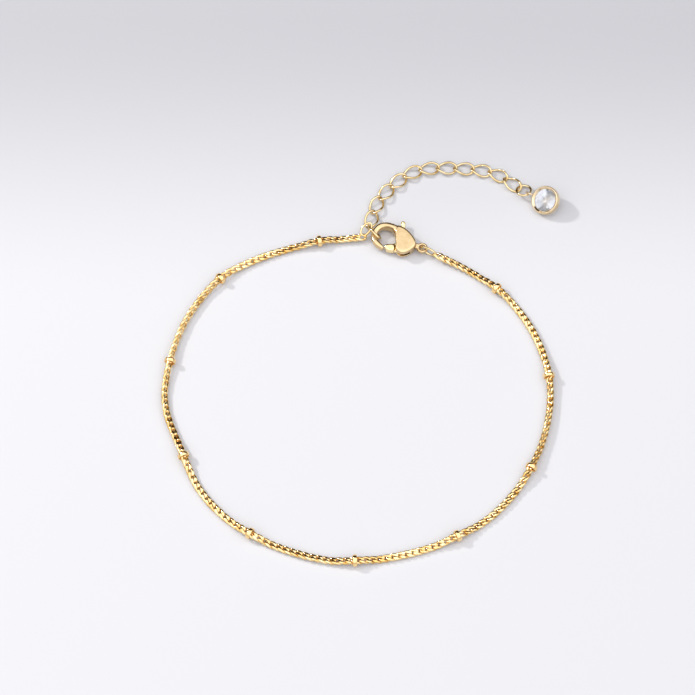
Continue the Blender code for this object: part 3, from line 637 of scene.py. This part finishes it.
def build_station(number, before, beyond):
    along = beyond - before
    middle = (before + beyond) / 2
    place = pose((middle.x, middle.y, STATION_DIAMETER / 2), yaw=math.atan2(along.y, along.x))
    place = PLAN @ place @ Matrix.Rotation(math.radians(90), 4, "Y")
    node = f"station_bead_{number:02d}"
    profile = ring_profile(STATION_BORE / 2, STATION_DIAMETER / 2, STATION_LENGTH, RING_SQUARENESS)
    ring = lathe(profile, STATION_SIDES)
    mesh = finish(ring, node + "_ring", place)
    shade(mesh, STATION_SHARP)
    add_piece(node + "_ring", mesh, BEAD_GOLD, replaces=(node,))


# Clasp.

def cast_copy(node, name, material, body):
    """A copy of the solid, remeshed in millimetres and smoothed like a tumbled casting."""
    item = bpy.data.objects.new(name, bpy.data.objects[node].data.copy())
    bpy.context.collection.objects.link(item)
    item.data.transform(Matrix.Scale(1 / MM, 4))
    remesh = item.modifiers.new("even", "REMESH")
    remesh.mode = "VOXEL"
    remesh.voxel_size = CAST_VOXEL / MM
    smooth = item.modifiers.new("soft", "SMOOTH")
    smooth.iterations = CAST_SMOOTHING
    smooth.factor = CAST_SMOOTH_FACTOR
    bpy.context.view_layer.update()
    mesh = bpy.data.meshes.new_from_object(item.evaluated_get(bpy.context.evaluated_depsgraph_get()))
    mesh.transform(Matrix.Scale(MM, 4))
    bpy.data.objects.remove(item, do_unlink=True)
    mesh.shade_smooth()
    mesh.materials.clear()
    return add_piece(name, mesh, material, body, (node,))


def build_clasp():
    cast_copy("clasp_body", "clasp_cast", CLASP_GOLD, "bracelet")
    cast_copy("clasp_lever", "lever_cast", LEVER_GOLD, "lever")
    pin = bpy.data.objects["clasp_pin"]
    pin.data.materials.clear()
    pin.data.materials.append(CLASP_GOLD)


# Crystal drop.

def brilliant(radius, crown, girdle, pavilion):
    """Round brilliant with table, stars, kites, upper and lower halves and mains."""
    half_turn = math.cos(math.pi / STONE_FOLD)
    kite = 1 - (STONE_STAR * half_turn - STONE_TABLE) / (1 - STONE_TABLE)
    main = 1 - STONE_LOWER * half_turn
    shape = bmesh.new()

    def ring(count, share, height, offset=0.0):
        row = []
        for k in range(count):
            angle = 2 * math.pi * (k + offset) / count
            x = radius * share * math.cos(angle)
            y = radius * share * math.sin(angle)
            row.append(shape.verts.new((x, y, height)))
        return row

    tables = ring(STONE_FOLD, STONE_TABLE, crown)
    stars = ring(STONE_FOLD, STONE_STAR, crown * kite, 0.5)
    upper = ring(2 * STONE_FOLD, 1.0, 0.0)
    under = ring(2 * STONE_FOLD, 1.0, -girdle)
    lowers = ring(STONE_FOLD, STONE_LOWER, -girdle - pavilion * main, 0.5)
    culet = shape.verts.new((0, 0, -girdle - pavilion))
    shape.faces.new(tables)
    for k in range(STONE_FOLD):
        n = (k + 1) % STONE_FOLD
        side = 2 * k + 1
        shape.faces.new((tables[k], stars[k], tables[n]))
        shape.faces.new((tables[k], stars[k - 1], upper[2 * k], stars[k]))
        shape.faces.new((stars[k], upper[2 * k], upper[side]))
        shape.faces.new((stars[k], upper[side], upper[2 * n]))
        shape.faces.new((lowers[k], under[side], under[2 * k]))
        shape.faces.new((lowers[k], under[2 * n], under[side]))
        shape.faces.new((lowers[k - 1], under[2 * k], lowers[k], culet))
    for k in range(2 * STONE_FOLD):
        n = (k + 1) % (2 * STONE_FOLD)
        shape.faces.new((upper[k], upper[n], under[n], under[k]))
    bmesh.ops.recalc_face_normals(shape, faces=shape.faces)
    for face in shape.faces:
        face.material_index = 1 if face.normal.z < STONE_UNDER else 0
    return shape


def build_drop(last, beyond):
    along = (beyond - last).normalized()
    across = Vector((-along.y, along.x, 0))
    heading = math.atan2(along.y, along.x)
    tilted = pose((0, 0, 0), yaw=heading, pitch=JUMP_RING_PITCH, roll=JUMP_RING_ROLL)
    points = oval(JUMP_RING_DIAMETER, JUMP_RING_DIAMETER, WIRE, segments=SOLID_LINK_SEGMENTS)
    ring_height = WIRE / 2 - min((tilted @ point).z for point in points)
    offset_along, offset_across, lift = JUMP_RING_OFFSET
    centre = last + along * offset_along + across * offset_across
    ring_frame = Matrix.Translation((centre.x, centre.y, ring_height + lift)) @ tilted
    size = (JUMP_RING_DIAMETER, JUMP_RING_DIAMETER)
    wire_piece("jump_ring_wire", size, ring_frame, LINK_GOLD, "jump_ring")
    far_wire = ring_frame @ Vector(((JUMP_RING_DIAMETER - WIRE) / 2, 0, 0))

    radius = BEZEL_DIAMETER / 2
    back = BEZEL_BACK_DIAMETER / 2
    lip = BEZEL_LIP_DIAMETER / 2
    seat = BEZEL_SIDE * math.cos(BEZEL_LEAN) + radius * math.sin(BEZEL_LEAN)
    eye_middle = (BEZEL_EYE_DIAMETER - BEZEL_EYE_WIRE) / 2
    reach = radius + eye_middle - BEZEL_EYE_WIRE * BEZEL_EYE_SINK_SHARE
    play = eye_middle - BEZEL_EYE_WIRE / 2 - WIRE / 2 - LINK_PLAY
    lean = Matrix.Rotation(BEZEL_LEAN_HEADING, 4, "Z") @ Matrix.Rotation(BEZEL_LEAN, 4, "Y")
    spin = heading + BEZEL_TURN + math.pi - BEZEL_LEAN_HEADING
    outward = lean @ Vector((math.cos(spin), math.sin(spin), 0))
    upward = lean @ Vector((0, 0, 1))
    eye_place = far_wire - outward * play
    eye_height = (eye_place.z - seat - outward.z * reach) / upward.z
    middle = eye_place - outward * reach - upward * eye_height
    place = PLAN @ Matrix.Translation(middle) @ lean @ Matrix.Rotation(spin, 4, "Z")

    back_height = -BEZEL_SIDE - (radius - back) * math.tan(BEZEL_LEAN)
    floor = back_height + BEZEL_FLOOR
    bay = STONE_DIAMETER / 2 + BEZEL_BAY_PLAY
    profile = [(0, back_height), (back, back_height), (radius, -BEZEL_SIDE)]
    profile += [(radius - BEZEL_WALL * across, -BEZEL_WALL * down) for across, down in BEZEL_RIM]
    profile += [(lip + BEZEL_WALL * across, -BEZEL_WALL * down) for across, down in BEZEL_LIP]
    profile += [(lip, -BEZEL_LIP_DEPTH), (bay, -BEZEL_BAY_TOP), (bay, -BEZEL_BAY_END)]
    profile += [(back * BEZEL_FLOOR_SHARE, floor), (0, floor)]
    cup = finish(lathe(profile, BEZEL_SIDES), "bezel_cup", place)
    shade(cup, BEZEL_SHARP)
    cup_item = add_piece("bezel_cup", cup, BEZEL_GOLD, replaces=("drop_bezel",))
    soften = cup_item.modifiers.new("soft_edges", "BEVEL")
    soften.width = BEZEL_SOFT_EDGE
    soften.segments = BEZEL_SOFT_SEGMENTS
    soften.limit_method = "ANGLE"
    soften.angle_limit = BEZEL_SOFT_ANGLE
    eye_profile = ring_profile(eye_middle - BEZEL_EYE_WIRE / 2, eye_middle + BEZEL_EYE_WIRE / 2,
                               BEZEL_EYE_WIRE, steps=BEZEL_EYE_STEPS)
    eye = lathe(eye_profile, BEZEL_EYE_SIDES)
    eye.transform(Matrix.Translation((reach, 0, eye_height)) @ Matrix.Rotation(math.radians(90), 4, "X"))
    eye_mesh = finish(eye, "bezel_eye", place)
    shade(eye_mesh)
    add_piece("bezel_eye", eye_mesh, BEZEL_GOLD)

    stone = brilliant(STONE_DIAMETER / 2, STONE_CROWN, STONE_GIRDLE, STONE_PAVILION)
    girdle_place = place @ Matrix.Translation((0, 0, -STONE_GIRDLE_DEPTH))
    stone_mesh = finish(stone, "crystal_brilliant", girdle_place)
    item = add_piece("crystal_brilliant", stone_mesh, crystal_material(),
                     replaces=("drop_stone",))
    item.data.materials.append(foil_material())


# Table, light and camera.

def build_floor():
    shape = bmesh.new()
    bmesh.ops.create_grid(shape, x_segments=1, y_segments=1, size=TABLE_REACH)
    mesh = finish(shape, "table")
    mesh.transform(Matrix.Translation((0, 0, -TABLE_DROP)))
    item = bpy.data.objects.new("table", mesh)
    bpy.context.collection.objects.link(item)
    item.data.materials.append(floor_material())


def area_light(name, heading, elevation, distance, size, power, colour):
    """A soft box that looks at the bracelet from a heading and elevation in degrees."""
    data = bpy.data.lights.new(name, "AREA")
    data.shape = "DISK"
    data.size = size
    data.energy = power
    data.color = colour
    item = bpy.data.objects.new(name, data)
    bpy.context.collection.objects.link(item)
    a = math.radians(heading)
    e = math.radians(elevation)
    item.location = Vector((math.cos(a) * math.cos(e), math.sin(a) * math.cos(e), math.sin(e))) * distance
    item.rotation_euler = (-item.location).to_track_quat("-Z", "Y").to_euler()


def map_range(nodes, links, source, from_min, from_max, to_min=0.0, to_max=1.0):
    node = nodes.new("ShaderNodeMapRange")
    node.interpolation_type = "SMOOTHSTEP"
    node.inputs["From Min"].default_value = from_min
    node.inputs["From Max"].default_value = from_max
    node.inputs["To Min"].default_value = to_min
    node.inputs["To Max"].default_value = to_max
    links.new(source, node.inputs["Value"])
    return node.outputs["Result"]


def build_world():
    """White studio, dark behind the table, so that the gold has contrast."""
    world = bpy.data.worlds.new("studio")
    bpy.context.scene.world = world
    world.use_nodes = True
    nodes = world.node_tree.nodes
    links = world.node_tree.links
    back = nodes["Background"]
    place = nodes.new("ShaderNodeTexCoord")
    split = nodes.new("ShaderNodeSeparateXYZ")
    links.new(place.outputs["Generated"], split.inputs["Vector"])
    ramp = nodes.new("ShaderNodeValToRGB")
    links.new(split.outputs["Z"], ramp.inputs["Fac"])
    steps = ramp.color_ramp.elements
    steps[0].position = 0.0
    steps[0].color = WORLD_FLOOR_COLOUR
    steps[1].position = 1.0
    steps[1].color = WORLD_TOP_COLOUR
    middle = ramp.color_ramp.elements.new(WORLD_MIDDLE)
    middle.color = WORLD_MIDDLE_COLOUR
    north = map_range(nodes, links, split.outputs["Y"], WORLD_NORTH_START, WORLD_NORTH_END)
    low = map_range(nodes, links, split.outputs["Z"], WORLD_BAND_LOW, WORLD_BAND_HIGH, 1.0, 0.0)
    wall = map_range(nodes, links, split.outputs["Y"], WORLD_BACK_START, WORLD_BACK_END)
    corner = nodes.new("ShaderNodeMath")
    corner.operation = "MULTIPLY"
    links.new(north, corner.inputs[0])
    links.new(low, corner.inputs[1])
    band = nodes.new("ShaderNodeMath")
    band.operation = "MAXIMUM"
    links.new(corner.outputs["Value"], band.inputs[0])
    links.new(wall, band.inputs[1])
    mix = nodes.new("ShaderNodeMix")
    mix.data_type = "RGBA"
    mix.inputs["B"].default_value = WORLD_DARK_COLOUR
    links.new(band.outputs["Value"], mix.inputs["Factor"])
    links.new(ramp.outputs["Color"], mix.inputs["A"])
    links.new(mix.outputs["Result"], back.inputs["Color"])
    back.inputs["Strength"].default_value = WORLD_STRENGTH


def build_camera():
    data = bpy.data.cameras.new("camera")
    data.sensor_width = SENSOR_WIDTH
    data.lens = SENSOR_WIDTH * PIXELS_PER_MM * (CAMERA_DISTANCE / MM) / IMAGE_SIZE
    data.clip_start = CAMERA_CLIP_START
    item = bpy.data.objects.new("camera", data)
    bpy.context.collection.objects.link(item)
    target = PLAN.to_translation()
    reach = CAMERA_DISTANCE * math.cos(CAMERA_ELEVATION)
    height = CAMERA_DISTANCE * math.sin(CAMERA_ELEVATION)
    item.location = target + Vector((0, -reach, height))
    item.rotation_euler = (math.pi / 2 - CAMERA_ELEVATION, 0, 0)
    bpy.context.scene.camera = item


build_camera()
left_chain_end, right_chain_end = build_links()
last_link, beyond_link = build_extender()
build_chain(left_chain_end, right_chain_end)
build_clasp()
build_drop(last_link, beyond_link)
build_floor()
area_light("key", KEY_HEADING, KEY_ELEVATION, KEY_DISTANCE, KEY_SIZE, KEY_POWER, KEY_COLOUR)
build_world()
bpy.context.scene.view_settings.view_transform = "Standard"
